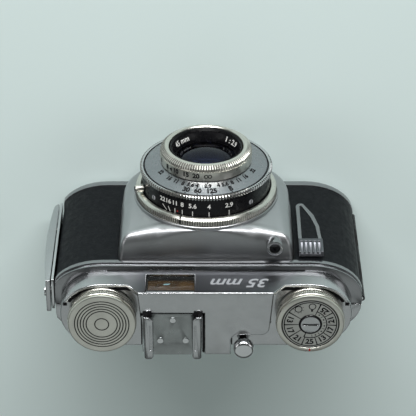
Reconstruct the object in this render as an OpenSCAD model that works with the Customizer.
// Knob-wind 35 mm viewfinder camera with a leaf shutter and a front-cell focusing lens.
// Millimetres. The camera stands upright: +Z up, the lens looks along -Y, and the origin is the
// mouth of the tripod socket, in the plane of the base, straight under the optical axis.

/* [Body] */
// Width of the body over its rounded ends, without the latch
body_w = 114; // [112:0.5:116]
// Depth of the body from the front covering to the back
body_d = 30; // [29.5:0.25:31]
// Height of the optical axis above the base
axis_h = 31.5; // [31:0.25:32]
// Height of the leather-covered band
panel_h = 52.9; // [52.5:0.1:53.1]
// Flat side that carries the latch, measured from the optical axis
latch_side_x = 55.2; // [55:0.1:55.4]

/* [Top cover] */
// Height of the finder block above the top rim
block_h = 14.3; // [14:0.1:14.6]
// Height of the deck that carries the knobs above the top rim
deck_h = 7.8; // [7.6:0.1:8]
// Width of the finder window
window_w = 17.4; // [15:0.2:17.4]
// Height of the finder window
window_h = 11.1; // [9:0.1:11.1]

/* [Knobs] */
// Diameter of the rewind knob and the advance knob
knob_d = 25; // [23:0.5:25]
// Distance between the two knobs' axes
knob_spacing = 75.2; // [75:0.1:75.6]
// Diameter of the rewind release button
button_d = 7.4; // [6.5:0.1:7.4]

/* [Lens and shutter] */
// Radius of the shutter case
case_r = 23.8; // [23.6:0.1:23.8]
// Radius of the focusing ring
focus_r = 16.9; // [16.8:0.1:17]
// Distance from the middle of the body to the front of the focusing ring
lens_front = 48.4; // [48.2:0.1:48.8]
// Number of iris blades
iris_blades = 5; // [5]

/* [Accessory shoe] */
// Width of the slot that an accessory foot slides into
shoe_slot_w = 18.6; // [18.6]
// Height of that slot
shoe_slot_h = 2.1; // [2:0.05:2.2]

/* [Hidden] */
$fn = 96;
EPS = 0.05;

// Heights up the body.
base_t = 1.3;
panel_z0 = 5.2;
panel_z1 = panel_z0 + panel_h;
rim_top = 62;
block_top = rim_top + block_h;
deck_z = rim_top + deck_h;
well_edge_z = deck_z + 1.2;
wall = 1.2;

// Plan of the body: the front half is fixed, the rear half is the back cover.
half_w = body_w / 2;
half_d = body_d / 2;
leather_t = 0.9;
back_leather_t = 0.5;
split_y = 1.8;
back_gap = 0.4;
film_y = 9.2;
gate_w = 36;
gate_h = 24;

knob_x = knob_spacing / 2;
knob_y = 0.5;
knob_r = knob_d / 2;
knob_z0 = deck_z + 0.4;
knob_top = block_top + 0.2;
shaft_r = 2;
shaft_clear = 0.05;
button_pos = [-13.6, 10];
button_r = button_d / 2;

// The hinge at the photographer's right hand, and the latch on the other side.
hinge_pos = [-57.2, 0.4];
hinge_r = 1.2;
hinge_pin_r = 0.6;
hinge_z0 = 3;
knuckle_h = 11.4;
knuckles = 5;
hinge_leaf = 2.6;
back_gap_z = 0.3;
ledge_t = 0.7;
lip_t = 1;

// Distances along the lens axis, forwards from the middle of the body.
panel_f = half_d;
housing_f = 27.4;
collar_f = 28.6;
case_back_f = 26;
case_front_f = 38.6;
front_plate_t = 0.8;
case_bore_r = 22.4;
sleeve_r = 15.5;
ring_gap = 0.3;
dial_edge_f = 40.2;
dial_top_f = 42.3;
iris_plate_f = 35.1;
shutter_plate_f = 31.6;
iris_r = 8;
housing_half_w = 32.3;
housing_up = panel_z1 - axis_h;
housing_down = 26.25;

// Finder, set above the lens and a little towards the rewind side.
finder_x = 12.9;
window_z0 = 64.3;
fascia_y = -13;
cover_rear_y = 14.5;
shoe_x = 12;
shoe_y0 = -3.7;
shoe_y1 = 14.4;
shoe_floor_z = block_top - 1.3;
shoe_plate_t = 0.8;
shoe_web_t = 1.4;
shoe_lip_w = 3.7;
shoe_lip_t = 0.8;
shoe_w = shoe_slot_w + 2 * shoe_web_t;

// The gear that turns the sprocket with the advance knob: two equal wheels in mesh.
sprocket_pos = [-24.8, 4.2];
gear_teeth = 20;
mesh_vector = sprocket_pos - [-knob_x, knob_y];
mesh_distance = norm(mesh_vector);
mesh_angle = atan2(mesh_vector[1], mesh_vector[0]);
gear_r = mesh_distance / 2;

metal = "silver";
black = [0.09, 0.09, 0.10];
brass = [0.72, 0.58, 0.30];
glass_tint = [0.55, 0.65, 0.75, 0.5];

// Points of an elliptical arc from angle a0 to a1.
function arc(cx, cy, rx, ry, a0, a1, n = 10) =
    [for (i = [0:n]) let (t = a0 + (a1 - a0) * i / n) [cx + rx * cos(t), cy + ry * sin(t)]];

// A plan with elliptical corners: half width w, front y0, rear y1, corner half axes a (along X) and
// b (along Y), cut off flat at x = flat.
function plan(w, y0, y1, a, b, flat) =
    [for (p = concat(
        arc(w - a, y0 + b, a, b, -90, 0),
        arc(w - a, y1 - b, a, b, 0, 90),
        arc(a - w, y1 - b, a, b, 90, 180),
        arc(a - w, y0 + b, a, b, 180, 270)))
        [min(p[0], flat), p[1]]];

// The body's own plan, moved inwards by i.
function body_plan(i = 0) =
    plan(half_w - i, i - half_d, half_d - i, 19 - i, 13 - i, latch_side_x - i);

// The top cover's plan, moved inwards by i.
function cover_plan(i = 0) =
    plan(half_w - 4 - i, fascia_y + i, cover_rear_y - i, 15 - i, 13 - i, half_w);

module slab(points, z0, z1) {
    translate([0, 0, z0]) linear_extrude(z1 - z0) polygon(points);
}

// A band that follows the body's plan between the insets i0 (outer) and i1 (inner).
module band(i0, i1, z0, z1) {
    translate([0, 0, z0])
        linear_extrude(z1 - z0)
            difference() {
                polygon(body_plan(i0));
                polygon(body_plan(i1));
            }
}

// Everything in front of y, or behind it.
module ahead_of(y) { translate([-80, -80, -10]) cube([160, 80 + y, 110]); }
module behind(y) { translate([-80, y, -10]) cube([160, 80, 110]); }

// Turns local +Z to point out of the lens, and local +Y up.
module along_lens() { translate([0, 0, axis_h]) rotate([90, 0, 0]) children(); }

module lens_ring(profile) { along_lens() rotate_extrude() polygon(profile); }

// A flat ring about the lens axis: bore r0, outside r1, and thickness t forwards from f0.
module washer(r0, r1, f0, t) { lens_ring([[r0, f0], [r1, f0], [r1, f0 + t], [r0, f0 + t]]); }

module at_rewind() { translate([knob_x, knob_y, 0]) children(); }
module at_advance() { translate([-knob_x, knob_y, 0]) children(); }
module at_sprocket() { translate([sprocket_pos[0], sprocket_pos[1], 0]) children(); }

module tube(r_out, r_in, h) {
    difference() {
        cylinder(r = r_out, h = h);
        translate([0, 0, -1]) cylinder(r = r_in, h = h + 2);
    }
}

// ---------------------------------------------------------------- body

module body_shell() {
    color("dimgray") difference() {
        intersection() {
            band(leather_t, leather_t + wall, base_t, rim_top - ledge_t);
            ahead_of(split_y - back_gap);
        }
        along_lens() cylinder(r = 20.5, h = 60);
        release_slot();
        hinge_room();
    }
}

// The hollow down the side of the body that the hinge lies in, reaching forwards by ahead.
module hinge_room(ahead = 0) {
    gap = 0.15;
    h = knuckles * knuckle_h + 2 * gap;
    translate([hinge_pos[0], hinge_pos[1], hinge_z0 - gap]) {
        cylinder(r = hinge_r + 0.2, h = h);
        translate([-2, -ahead, 0]) cube([hinge_r + 2.2, 3 + ahead, h]);
    }
}

// The slot that the release's stem passes through.
module release_slot() {
    translate([-40.2, -20, 35]) cube([3.4, 12, 14]);
}

// The section of the casting that holds the film: two round chambers and the block between them.
module chassis_section() {
    difference() {
        intersection() {
            polygon(body_plan(leather_t + wall));
            translate([-80, -80]) square([160, 80 + film_y]);
            translate([-53.2, -80]) square([106.4, 160]);
        }
        for (x = [-knob_x, knob_x]) {
            translate([x, knob_y]) circle(r = 12.7);
            translate([x - 12.7, knob_y]) square([25.4, 40]);
        }
        translate(sprocket_pos) circle(r = 6.2);
        translate([sprocket_pos[0] - 6.2, sprocket_pos[1]]) square([12.4, 40]);
    }
}

module film_chassis() {
    web = 1.2;
    color("gray") difference() {
        union() {
            translate([0, 0, panel_z0 + web]) linear_extrude(panel_h - 2 * web) chassis_section();
            for (z = [panel_z0, panel_z1 - web]) chassis_web(z, web);
        }
        translate([-gate_w / 2, -20, axis_h - gate_h / 2]) cube([gate_w, 60, gate_h]);
        along_lens() cylinder(r = 20.5, h = 30);
        release_slot();
        cylinder(r = bush_r, h = bush_top);
    }
}

// A flat web that closes the chambers at the top or the bottom, with the shafts' holes in it.
module chassis_web(z, t) {
    difference() {
        intersection() {
            slab(body_plan(leather_t + wall), z, z + t);
            ahead_of(film_y);
            translate([-53.2, -80, 0]) cube([106.4, 160, 100]);
        }
        at_rewind() translate([0, 0, z - 1]) cylinder(r = 4, h = t + 2);
        at_advance() translate([0, 0, z - 1]) cylinder(r = shaft_r + 0.3, h = t + 2);
        at_sprocket() translate([0, 0, z - 1]) cylinder(r = 1.5 + 0.3, h = t + 2);
    }
}

module bottom_cover() {
    color(metal) difference() {
        slab(body_plan(1.4), 0, base_t);
        translate([0, 0, -1]) cylinder(r = 5.5, h = 5);
        at_cover_screws() translate([0, 0, -1]) cylinder(r = 1.6, h = 5);
    }
}

module at_cover_screws() {
    for (x = [-44, 44]) translate([x, -4, 0]) children();
}

module cover_screws() {
    color(metal) at_cover_screws() difference() {
        translate([0, 0, 0.1]) {
            cylinder(r = 1.55, h = base_t - 0.1);
            cylinder(r = 0.9, h = panel_z0 - 0.1);
        }
        translate([-2, -0.2, -1]) cube([4, 0.4, 1.5]);
    }
}

bush_r = 4.4;
bush_top = panel_z0 + 1.15;

module tripod_bush() {
    color(metal) difference() {
        union() {
            cylinder(r = 5.45, h = base_t);
            cylinder(r = bush_r, h = bush_top);
        }
        translate([0, 0, -1]) cylinder(r = 2.55, h = 6);
    }
}

// A bright rim round the front half: a rounded bead with a narrower step beside it.
module bottom_rim() {
    color(metal) difference() {
        intersection() {
            union() {
                band(-0.35, leather_t, base_t + 1.2, panel_z0);
                band(0.2, leather_t, base_t, base_t + 1.2);
            }
            ahead_of(split_y - back_gap);
        }
        hinge_room(hinge_leaf);
    }
}

module top_rim() {
    bead = 1.9;
    color(metal) difference() {
        intersection() {
            union() {
                band(-0.35, leather_t, panel_z1, panel_z1 + bead);
                band(0.3, leather_t, panel_z1 + bead, rim_top - ledge_t);
                band(-0.1, leather_t, rim_top - ledge_t, rim_top);
                ledge();
            }
            ahead_of(split_y - back_gap);
        }
        hinge_room(hinge_leaf);
    }
}

// The flat ledge between the top rim and the narrower top cover.
module ledge() {
    difference() {
        slab(body_plan(0.5), rim_top - ledge_t, rim_top);
        slab(cover_plan(wall), rim_top - 2, rim_top + 1);
    }
}

module leather_half(side) {
    color(black) difference() {
        intersection() {
            band(0, leather_t, panel_z0, panel_z1);
            ahead_of(-2.4);
            translate([side > 0 ? 0 : -80, -80, 0]) cube([80, 160, 100]);
        }
        along_lens() linear_extrude(60) polygon(housing_plan(0));
        release_slot();
    }
}

module leather_left() { leather_half(1); }
module leather_right() { leather_half(-1); }

// ---------------------------------------------------------------- front housing

// Shield outline of the front housing, moved inwards by i: square above, round below.
function housing_plan(i, top_r = 2.5, low_r = 20) =
    let (w = housing_half_w - i, u = housing_up - i, d = housing_down - i)
    concat(
        arc(w - top_r, u - top_r, top_r, top_r, 0, 90, 4),
        arc(top_r - w, u - top_r, top_r, top_r, 90, 180, 4),
        arc(low_r - w, low_r - d, low_r, low_r, 180, 270, 8),
        arc(w - low_r, low_r - d, low_r, low_r, 270, 360, 8));

module housing_form(i, depth) {
    hull() {
        translate([0, 0, panel_f - leather_t]) linear_extrude(depth - 11) polygon(housing_plan(i));
        translate([0, 0, panel_f + depth - 8.2])
            linear_extrude(4.2) polygon(housing_plan(i + 1.4, 3, 19));
        translate([0, 0, panel_f + depth - 2.6]) linear_extrude(1) polygon(housing_plan(i + 4, 6, 18));
    }
}

module front_housing() {
    color(metal) difference() {
        along_lens() union() {
            housing_form(0, 14);
            translate([0, 0, housing_f - 3]) cylinder(r = 27, h = collar_f - housing_f + 3);
            translate([0, 0, collar_f]) tube(27, 26.55, 0.6);
        }
        along_lens() housing_form(1.5, 12.4);
        along_lens() translate([0, 0, 10]) cylinder(r = case_r + EPS, h = 40);
        translate([sync_x, sync_y, panel_z1 - 6]) cylinder(r = 2.5, h = 10);
    }
}

sync_x = -24.8;
sync_y = -22.3;
sync_bore_r = 1.9;

module sync_socket() {
    color(metal) translate([sync_x, sync_y, panel_z1 - 4])
        difference() {
            union() {
                cylinder(r = 2.45, h = 7.5);
                translate([0, 0, 4]) cylinder(r = 3, h = 3.5);
            }
            translate([0, 0, 2]) cylinder(r = sync_bore_r, h = 10);
        }
}

module sync_contact() {
    color(brass) translate([sync_x, sync_y, panel_z1 - 2]) {
        cylinder(r = 1.3, h = 1.2);
        translate([0, 0, 1.2]) cylinder(r = 0.45, h = 2);
    }
}

// ---------------------------------------------------------------- top cover

// Plan of the finder block, with the rear corner cut away for the rewind release button.
block_plan = concat(
    [[24.6, fascia_y], [23.2, 2], [23.2, cover_rear_y - 0.5], [-9, cover_rear_y - 0.5]],
    arc(-11.5, 8, 2.5, 2.5, 0, -90, 5),
    arc(-19.9, 2.5, 3, 3, 90, 180, 5),
    [[-24.2, fascia_y]]);

// The fascia seen from the front: low in front of the knobs, and raised across the finder block.
fascia_face = [
    [-28.4, deck_z], [28.4, deck_z], [28.4, well_edge_z], [24.4, block_top],
    [-24.2, block_top], [-28.4, well_edge_z]];

module top_cover() {
    color(metal) difference() {
        union() {
            slab(cover_plan(0), rim_top, deck_z);
            well_wall();
            slab(block_plan, deck_z - 1, block_top);
            translate([0, fascia_y + 1.5, 0]) rotate([90, 0, 0]) linear_extrude(1.5) polygon(fascia_face);
        }
        slab(cover_plan(wall), rim_top - 1, deck_z - wall);
        finder_cavity();
        translate([finder_x - window_w / 2, fascia_y - 1, window_z0]) cube([window_w, 4, window_h]);
        translate([finder_x - 4.5, 10, 65.5]) cube([9, 8, 6.5]);
        translate([shoe_x - shoe_w / 2 - 0.7, shoe_y0 - 0.4, shoe_floor_z]) cube([30, 30, 5]);
        at_rewind() translate([0, 0, 60]) cylinder(r = 3.6, h = 20);
        at_advance() translate([0, 0, 60]) cylinder(r = shaft_r + shaft_clear, h = 20);
        translate([button_pos[0], button_pos[1], 60]) cylinder(r = 2.05, h = 20);
    }
}

// The low wall that carries the fascia round the front of each knob.
module well_wall() {
    difference() {
        slab(cover_plan(0), deck_z, well_edge_z);
        slab(cover_plan(1.3), deck_z - 1, well_edge_z + 1);
        behind(-5);
    }
}

module finder_cavity() {
    translate([2.6, fascia_y + 1.5, 60]) cube([20, 7.6, block_top - 61]);
    translate([2.6, fascia_y + 8, 60]) cube([20, 17.5, 13.6]);
}

module finder_window() {
    color([0.75, 0.55, 0.2, 0.5])
        translate([finder_x - window_w / 2, fascia_y + 0.5, window_z0]) cube([window_w, 1, window_h]);
}

module finder_tube() {
    color(black) difference() {
        translate([2.7, fascia_y + 1.5, 63.6]) cube([19.8, 24, 9.9]);
        hull() {
            translate([3.9, fascia_y + 1, 64.8]) cube([17.4, 0.1, 7.5]);
            translate([finder_x - 4, 15, 65.9]) cube([8, 0.1, 5.5]);
        }
    }
}

module finder_eyepiece() {
    color(glass_tint) translate([finder_x - 4.5, 13, 65.5]) cube([9, 1, 6.5]);
}

module accessory_shoe() {
    color(metal) difference() {
        union() {
            translate([shoe_x - shoe_w / 2, shoe_y0, shoe_floor_z])
                cube([shoe_w, shoe_y1 - shoe_y0, shoe_plate_t]);
            translate([shoe_x, 0, 0]) {
                shoe_rail();
                mirror([1, 0, 0]) shoe_rail();
            }
        }
        for (side = [-1, 1]) shoe_notch(side);
        at_shoe_rivets() translate([0, 0, shoe_floor_z - 1]) cylinder(r = 1.15, h = 4);
    }
}

// One rail, bent up from the edge of the plate and over the slot.
module shoe_rail() {
    lip_z = shoe_floor_z + shoe_plate_t + shoe_slot_h;
    top = lip_z + shoe_lip_t;
    half = shoe_w / 2;
    inner = half - shoe_lip_w;
    section = concat(
        [[half, shoe_floor_z]],
        arc(half - 1.1, top - 1.1, 1.1, 1.1, 0, 90, 4),
        arc(inner + 0.3, top - 0.3, 0.3, 0.3, 90, 180, 2),
        [[inner, lip_z], [half - shoe_web_t, lip_z], [half - shoe_web_t, shoe_floor_z]]);
    outline = concat(
        [[half, shoe_y0], [half, shoe_y1 - 1.4]],
        arc(half - 1.4, shoe_y1 - 1.4, 1.4, 1.4, 0, 90, 4),
        arc(inner + 1.4, shoe_y1 - 1.4, 1.4, 1.4, 90, 180, 4),
        [[inner, shoe_y0 + 1.7], [inner + 1.5, shoe_y0]]);
    difference() {
        intersection() {
            translate([0, shoe_y1, 0]) rotate([90, 0, 0]) linear_extrude(shoe_y1 - shoe_y0) polygon(section);
            slab(outline, shoe_floor_z, top);
        }
        translate([inner + 0.9, shoe_y0 + 3.4, top - 0.4]) cube([0.4, 11, 1]);
    }
}

// The notch in the plate in front of a rail, where the metal was free to bend.
module shoe_notch(side) {
    translate([shoe_x + side * (shoe_w / 2 - 1.3) - 1.5, shoe_y0 - 1, shoe_floor_z - 1])
        cube([3, 2.4, 1 + shoe_plate_t]);
}

module at_shoe_rivets() {
    for (p = [[0, -0.8], [-4.6, 8.2], [4.6, 8.2]]) translate([shoe_x + p[0], p[1], 0]) children();
}

module shoe_rivets() {
    color(metal) at_shoe_rivets() translate([0, 0, shoe_floor_z]) cylinder(r = 1.1, h = shoe_plate_t + 0.15);
}

// ---------------------------------------------------------------- knobs, film transport

// A knurled knob: two knurled bands with a groove between them and a bevelled face.
module knob_form(face_r) {
    h = knob_top - knob_z0;
    rotate_extrude() polygon([
        [0, 0], [knob_r - 0.6, 0], [knob_r - 0.3, 0.4], [knob_r - 0.3, 2.5], [knob_r - 1.1, 2.8],
        [knob_r - 1.1, 3.2], [knob_r, 3.5], [knob_r, h - 0.6], [knob_r - 0.6, h], [face_r, h],
        [face_r, h - 0.5], [0, h - 0.5]]);
}

module rewind_knob() {
    color(metal) at_rewind() translate([0, 0, knob_z0]) difference() {
        knob_form(0.1);
        for (r = [2.5, 5.6, 6.65, 7.7, 8.75, 9.8])
            translate([0, 0, knob_top - knob_z0 - 0.3]) tube(r + 0.15, r - 0.15, 1);
        translate([0, 0, -1]) cylinder(r = shaft_r, h = 5);
    }
}

// The sleeve that carries the rewind shaft up when the knob is pulled out.
module rewind_sleeve() {
    color(brass) at_rewind() translate([0, 0, deck_z - 6])
        difference() {
            union() {
                cylinder(r = 3.5, h = 6.2);
                translate([0, 0, -1]) cylinder(r = 4.6, h = 1.2);
            }
            translate([0, 0, -2]) cylinder(r = shaft_r + shaft_clear, h = 10);
        }
}

module rewind_shaft() {
    fork_z = panel_z1 - 7;
    color(metal) at_rewind() {
        translate([0, 0, fork_z + 2]) cylinder(r = shaft_r, h = knob_z0 + 4 - fork_z - 2);
        difference() {
            translate([0, 0, fork_z - 4]) cylinder(r = 3, h = 6);
            translate([-1.2, -5, fork_z - 5]) cube([2.4, 10, 5]);
        }
    }
}

module advance_knob() {
    color(metal) at_advance() translate([0, 0, knob_z0]) difference() {
        knob_form(10.4);
        translate([0, 0, -1]) cylinder(r = shaft_r, h = 4);
        translate([0, 0, 3]) cylinder(r = 2.2, h = 10);
    }
}

module film_dial() {
    h = 0.45;
    color(metal) at_advance() translate([0, 0, knob_top - 0.5]) {
        difference() {
            cylinder(r = 10.2, h = h);
            translate([0, 0, -1]) cylinder(r = 3.9, h = 3);
        }
    }
}

module dial_screw() {
    color(metal) at_advance() translate([0, 0, knob_top - 0.5]) difference() {
        union() {
            cylinder(r = 3.9, h = 0.8);
            translate([0, 0, -2.4]) cylinder(r = 2.1, h = 2.4);
        }
        translate([-3, -0.35, 0.3]) cube([6, 0.7, 2]);
    }
}

// A spur wheel with straight-sided teeth and a little backlash.
module gear(r, teeth, h, phase) {
    m = 2 * r / teeth;
    points = [for (i = [0:teeth - 1], k = [0:3])
        let (
            a = phase + i * 360 / teeth + [-0.32, -0.11, 0.11, 0.32][k] * 360 / teeth,
            d = [-1.1, 0.85, 0.85, -1.1][k] * m)
        (r + d) * [cos(a), sin(a)]];
    linear_extrude(h) polygon(points);
}

module advance_shaft() {
    color(brass) at_advance() {
        translate([0, 0, panel_z1 - 6]) cylinder(r = shaft_r, h = knob_z0 + 3 - panel_z1 + 6);
        translate([0, 0, rim_top + 1]) gear(gear_r, gear_teeth, 2, mesh_angle);
        translate([0, 0, panel_z0 + 1.6]) cylinder(r = shaft_r, h = 5);
    }
}

module take_up_spool() {
    z0 = panel_z0 + 4;
    h = panel_h - 8;
    color(black) at_advance() difference() {
        translate([0, 0, z0]) rotate_extrude() polygon([
            [0, 0], [6.3, 0], [6.3, 1.5], [5, 2.2], [5, h - 2.2], [6.3, h - 1.5], [6.3, h], [0, h]]);
        translate([0, 0, panel_z1 - 6 - EPS]) cylinder(r = shaft_r + EPS, h = 20);
        translate([0, 0, 0]) cylinder(r = shaft_r + EPS, h = panel_z0 + 6.6 + EPS);
        translate([-10, -0.6, z0 + 8]) cube([20, 1.2, h - 16]);
    }
}

// Two toothed ends on one drum, with the wheel that the advance shaft turns.
module sprocket() {
    drum_r = 4.5;
    color(metal) at_sprocket() {
        translate([0, 0, panel_z0 + 1.6]) cylinder(r = 1.5, h = rim_top + 3 - panel_z0 - 1.6);
        translate([0, 0, axis_h - 17]) cylinder(r = drum_r, h = 34);
        for (z = [axis_h - 14.2, axis_h + 12.4], i = [0:5])
            translate([0, 0, z]) rotate(i * 60 + 30) translate([drum_r - 0.5, -0.8, 0]) cube([1.5, 1.6, 1.8]);
        translate([0, 0, rim_top + 1]) gear(gear_r, gear_teeth, 2, mesh_angle + 180 + 180 / gear_teeth);
    }
}

module rewind_button() {
    top = block_top + 3.6;
    color(metal) translate([button_pos[0], button_pos[1], 0]) {
        translate([0, 0, deck_z - 4]) cylinder(r = 2, h = 6.4);
        translate([0, 0, deck_z + 2.2]) rotate_extrude() polygon(concat(
            [[0, 0], [button_r - 0.4, 0], [button_r, 0.4]],
            arc(0, top - deck_z - 4.2, button_r, 2, 0, 90, 8)));
    }
}

// ---------------------------------------------------------------- shutter and lens

// Angle of the cocking lever about the lens, seen from the front, and how far it swings.
lever_angle = 16;
lever_swing = 50;

module shutter_case() {
    color(black) difference() {
        lens_ring([
            [case_bore_r, case_back_f], [case_r, case_back_f], [case_r, case_front_f],
            [sleeve_r, case_front_f], [sleeve_r, case_front_f - front_plate_t],
            [case_bore_r, case_front_f - front_plate_t]]);
        lever_slot();
        at_case_screws() translate([0, 0, -1.3]) cylinder(r = 0.9, h = 4);
    }
}

// The slot in the case wall that the cocking lever moves along.
module lever_slot() {
    along_lens() translate([0, 0, 32.1])
        rotate_extrude(angle = lever_swing + 8, start = lever_angle - lever_swing - 4)
            translate([22, 0]) square([3, 3.2]);
}

// The two set screws on the case, each with its local +Z out of the wall.
module at_case_screws() {
    for (a = [37, 133])
        along_lens() rotate([0, 0, a]) translate([case_r, 0, 34.4]) rotate([0, 90, 0]) children();
}

module shutter_screws() {
    color(metal) at_case_screws() difference() {
        translate([0, 0, -1.3]) cylinder(r = 0.88, h = 1.5);
        translate([-2, -0.15, 0]) cube([4, 0.3, 1]);
    }
}

module dial_plate() {
    color(metal) lens_ring([
        [sleeve_r, case_front_f], [22.9, case_front_f], [22.9, dial_edge_f],
        [17.2, dial_top_f], [sleeve_r, dial_top_f]]);
}

module iris_plate() {
    color(black) washer(iris_r, case_bore_r, iris_plate_f, 0.5);
}

module shutter_plate() {
    color(black) washer(iris_r, case_bore_r, shutter_plate_f, 0.7);
}

// The fixed sleeve that the focusing ring turns on; its inner flange holds the middle element.
module focus_sleeve() {
    f0 = case_front_f - front_plate_t;
    color(brass) lens_ring([
        [8.2, f0], [sleeve_r, f0], [sleeve_r, lens_front - 2.4], [13.9, lens_front - 2.4], [13.9, f0 + 1.8],
        [8.2, f0 + 1.8]]);
}

// Half section of a lens element between two spherical faces; a negative sag is a hollow face.
function element(r, f0, f1, sag0, sag1, n = 8) = concat(
    [for (i = [0:n]) let (x = r * i / n) [x, f0 - sag0 * (1 - x * x / (r * r))]],
    [for (i = [n:-1:0]) let (x = r * i / n) [x, f1 + sag1 * (1 - x * x / (r * r))]]);

module middle_element() {
    color(glass_tint) lens_ring(element(8.15, 37.9, 39.5, -0.5, -0.3));
}

module rear_element() {
    color(glass_tint) lens_ring(element(8, 22, 23.6, 1.4, 0.5));
}

module rear_cell() {
    color(black) lens_ring([
        [8, 20.5], [10.2, 20.5], [10.2, shutter_plate_f], [8.8, shutter_plate_f], [8.8, 24], [8, 24]]);
}

module front_cell() {
    color(black) lens_ring([
        [10.9, 40.5], [13.3, 40.5], [13.3, lens_front - 0.4], [13.1, lens_front - 0.4], [10.9, 43.6]]);
}

module front_element() {
    color(glass_tint) lens_ring(element(10.85, 41.6, 43.3, 0.2, 2.3));
}

module focus_ring() {
    color(metal) lens_ring([
        [15.9, dial_top_f + ring_gap], [focus_r, dial_top_f + ring_gap], [focus_r, lens_front - 2],
        [focus_r - 0.3, lens_front - 0.3], [focus_r - 0.6, lens_front], [13.9, lens_front],
        [13.6, lens_front - 0.3], [13.6, lens_front - 1.2], [15.9, lens_front - 1.2]]);
}

module aperture_ring() {
    f0 = collar_f + ring_gap;
    r0 = case_r + ring_gap;
    color(metal) lens_ring([[r0, f0], [26.2, f0], [26.2, f0 + 2.2], [25.4, f0 + 3.1], [r0, f0 + 3.1]]);
}

module speed_ring() {
    color(metal) lens_ring([
        [23.2, case_front_f + ring_gap], [24.4, case_front_f + ring_gap], [24.4, dial_edge_f - 0.2],
        [24, dial_edge_f + 0.2], [23.2, dial_edge_f + 0.2]]);
}

// A ring inside the case with the short cocking lever standing out of it.
module cocking_ring() {
    color(metal) {
        washer(21, 22.1, 32.6, 2.2);
        along_lens() rotate([0, 0, lever_angle]) translate([21.6, 0, 33.7]) rotate([0, 90, 0])
            cylinder(r = 1.2, h = 5.6);
    }
}

// Rest opening of the iris: how far each blade is turned in from wide open.
iris_turn = 28;
iris_pivot_r = 12.3;

// One thin curved blade, drawn wide open round the lens axis and then turned in about its pivot.
module iris_blade(k) {
    a = k * 360 / iris_blades;
    pivot = iris_pivot_r * [cos(a), sin(a), 0];
    color(black) along_lens() translate([0, 0, 35.9 + 0.3 * k])
        translate(pivot) rotate(iris_turn) translate(-pivot)
            rotate(a) linear_extrude(0.2) difference() {
                union() {
                    intersection() {
                        difference() {
                            circle(r = 16.2);
                            circle(r = 8.4);
                        }
                        polygon([[0, 0], [30, 0], [30, 40], [-8, 40]]);
                    }
                    translate([iris_pivot_r, 0]) circle(r = 3.9);
                }
                translate([iris_pivot_r, 0]) circle(r = 0.6);
            }
}

module iris_blade_1() { iris_blade(0); }
module iris_blade_2() { iris_blade(1); }
module iris_blade_3() { iris_blade(2); }
module iris_blade_4() { iris_blade(3); }
module iris_blade_5() { iris_blade(4); }

shutter_pivot_r = 14;

// One of the two blades that close the shutter, each hung from a pivot above or below the lens.
module shutter_blade(k) {
    color("dimgray") along_lens() translate([0, 0, 33 + 0.8 * k]) rotate(180 * k) linear_extrude(0.3)
        difference() {
            union() {
                intersection() {
                    circle(r = 9.2);
                    translate([-20, -20]) square([20.6, 40]);
                }
                polygon([[-4, 5], [0.6, 5], [1.6, 14.8], [-1.6, 14.8]]);
            }
            translate([0, shutter_pivot_r]) circle(r = 0.5);
        }
}

module shutter_blade_1() { shutter_blade(0); }
module shutter_blade_2() { shutter_blade(1); }

// ---------------------------------------------------------------- release

// Outline of the release plate, seen from the front: a teardrop with its point down.
slide_top_z = 56.6;
slide_low_z = 20.7;
grip_z = 47.6;
slide_f = panel_f + 0.3;

function teardrop(i) = concat(
    [[-33.9 - i, grip_z - i], [-33.9 - i, slide_low_z + 3]],
    arc(-35.9, slide_low_z + 2.2, 2 - i, 2.2 - i, 0, -120, 5),
    [[-40.5 + i * 0.9, 29 + i], [-42.2 + i, 37], [-42.9 + i, grip_z - i]]);

module release_slide() {
    color(metal) {
        along_lens() translate([0, -axis_h, slide_f]) difference() {
            linear_extrude(1.2) polygon(teardrop(0));
            translate([0, 0, 0.6]) linear_extrude(3) polygon(teardrop(1.5));
        }
        // the ribbed grip
        difference() {
            translate([-42.9, -slide_f - 2.6, grip_z]) cube([9, 2.6, slide_top_z - grip_z]);
            for (i = [0:4])
                translate([-41.9 + i * 1.6, -slide_f - 3.6, grip_z + 1.6]) cube([0.8, 1.8, 20]);
        }
        translate([-40, -slide_f, 40.5]) cube([3, slide_f - 11, 3]);
    }
}

module release_inset() {
    color(black) along_lens() translate([0, -axis_h, slide_f + 0.6])
        linear_extrude(0.4) polygon(teardrop(1.6));
}

// ---------------------------------------------------------------- back, hinge and latch

module back_cover() {
    color(metal) difference() {
        union() {
            intersection() {
                band(0, wall, base_t + back_gap_z, rim_top - back_gap_z);
                behind(split_y);
            }
            for (z = [base_t + back_gap_z, rim_top - back_gap_z - lip_t]) back_lip(z);
            for (i = [1, 3]) back_knuckle(hinge_z0 + i * knuckle_h + 0.15, knuckle_h - 0.3);
        }
        back_recess();
        translate([hinge_pos[0], hinge_pos[1], 0]) cylinder(r = hinge_pin_r + shaft_clear, h = 70);
    }
}

// The inturned lip that closes the back against the covers above and below it.
module back_lip(z) {
    difference() {
        intersection() {
            slab(body_plan(wall - EPS), z, z + lip_t);
            behind(split_y);
        }
        slab(cover_plan(3), z - 1, z + lip_t + 1);
    }
}

module back_knuckle(z, h) {
    translate([hinge_pos[0], hinge_pos[1], z]) {
        cylinder(r = hinge_r, h = h);
        translate([0, 0.3, 0]) cube([hinge_r, 2.5, h]);
    }
}

// The shallow field that the back's leather lies in.
module back_recess() {
    intersection() {
        band(-1, back_leather_t, panel_z0, panel_z1);
        behind(split_y + 1.2);
    }
}

module back_leather() {
    color(black) intersection() {
        band(0, back_leather_t, panel_z0, panel_z1);
        behind(split_y + 1.2);
    }
}

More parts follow.
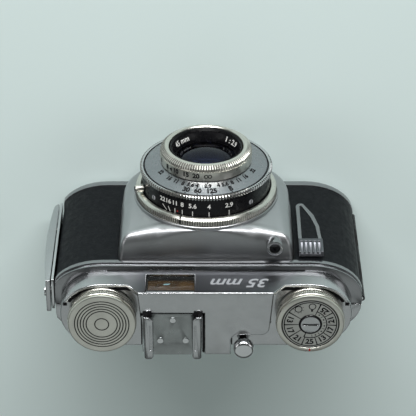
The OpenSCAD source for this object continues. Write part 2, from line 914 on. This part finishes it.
module body_hinge() {
    color(metal) difference() {
        for (i = [0, 2, 4]) translate([hinge_pos[0], hinge_pos[1], hinge_z0 + i * knuckle_h]) {
            cylinder(r = hinge_r, h = knuckle_h);
            translate([0, -hinge_leaf, 0]) cube([hinge_r, hinge_leaf, knuckle_h]);
        }
        translate([hinge_pos[0], hinge_pos[1], 0]) cylinder(r = hinge_pin_r, h = 70);
        slab(body_plan(leather_t), 0, 70);
    }
}

module hinge_pin() {
    color(metal) translate([hinge_pos[0], hinge_pos[1], hinge_z0])
        cylinder(r = hinge_pin_r, h = knuckles * knuckle_h);
}

module pressure_plate() {
    color(black) difference() {
        translate([-22, film_y + 0.2, axis_h - 17.5]) cube([44, 1, 35]);
        for (x = [-20, 20]) translate([x, 20, axis_h]) rotate([90, 0, 0]) cylinder(r = 1.2, h = 20);
    }
}

// Two bowed leaves between the back and the pressure plate.
module pressure_spring() {
    color(brass) for (z = [axis_h - 9, axis_h + 9])
        translate([0, 0, z - 3]) linear_extrude(6) polygon(concat(
            arc(0, 13.7, 18, 2.9, 180, 360, 16),
            arc(0, 13.7, 17.7, 2.6, 360, 180, 16)));
}

latch_x0 = latch_side_x + 1.8;
latch_z0 = 7.4;
latch_z1 = 61;
latch_travel = 3;
stud_y = -1.2;
stud_heights = [15, 57];

// Side plate with the two studs that the latch bar slides on.
module latch_strip() {
    color(metal) {
        translate([latch_side_x + 0.5, -8.4, latch_z0]) cube([0.9, 12.6, latch_z1 - latch_z0]);
        translate([latch_side_x - leather_t, -1.3, 12]) cube([leather_t + 0.5, 2.6, 40]);
        for (z = stud_heights) translate([latch_side_x + 1.4, stud_y, z]) rotate([0, 90, 0]) {
            cylinder(r = 1, h = 2);
            translate([0, 0, 1.9]) cylinder(r = 2.2, h = 1);
        }
    }
}

// The bowed bar that slides to let the back go: thickest at its middle, with a rounded lower end.
module latch_bar() {
    end_t = 1.7;
    bow = 1.5;
    length = latch_z1 - latch_z0;
    color(metal) difference() {
        translate([0, 5.5, 0]) rotate([90, 0, 0]) linear_extrude(13.5) polygon(concat(
            [[latch_x0, latch_z0]],
            arc(latch_x0 + 0.2, latch_z0 + 2.6, end_t, 2.6, -75, -15, 4),
            [for (i = [1:11]) let (t = i / 12)
                [latch_x0 + end_t + bow * 4 * t * (1 - t), latch_z0 + length * t]],
            [[latch_x0 + end_t, latch_z1], [latch_x0, latch_z1]]));
        for (z = stud_heights) {
            latch_slot(1.3, latch_x0 - 1, z);
            latch_slot(2.5, latch_x0 + 1.3, z);
        }
    }
}

// A slot in the bar, of half width r from x outwards, that runs down from a stud.
module latch_slot(r, x, z) {
    translate([x, stud_y, z]) rotate([0, 90, 0]) {
        cylinder(r = r, h = 10);
        translate([0, -r, 0]) cube([latch_travel + 0.2, 2 * r, 10]);
        translate([latch_travel + 0.2, 0, 0]) cylinder(r = r, h = 10);
    }
}

body_shell();
film_chassis();
bottom_cover();
tripod_bush();
bottom_rim();
top_rim();
top_cover();
leather_left();
leather_right();
front_housing();
finder_window();
finder_tube();
finder_eyepiece();
accessory_shoe();
shoe_rivets();
sync_socket();
sync_contact();
shutter_case();
shutter_screws();
dial_plate();
iris_plate();
shutter_plate();
focus_sleeve();
middle_element();
rear_cell();
rear_element();
latch_strip();
body_hinge();
hinge_pin();
cover_screws();
front_cell();
front_element();
focus_ring();
aperture_ring();
iris_blade_1();
iris_blade_2();
iris_blade_3();
iris_blade_4();
iris_blade_5();
speed_ring();
cocking_ring();
release_slide();
release_inset();
shutter_blade_1();
shutter_blade_2();
rewind_button();
rewind_sleeve();
rewind_knob();
rewind_shaft();
advance_knob();
advance_shaft();
take_up_spool();
sprocket();
film_dial();
dial_screw();
back_cover();
back_leather();
pressure_plate();
pressure_spring();
latch_bar();
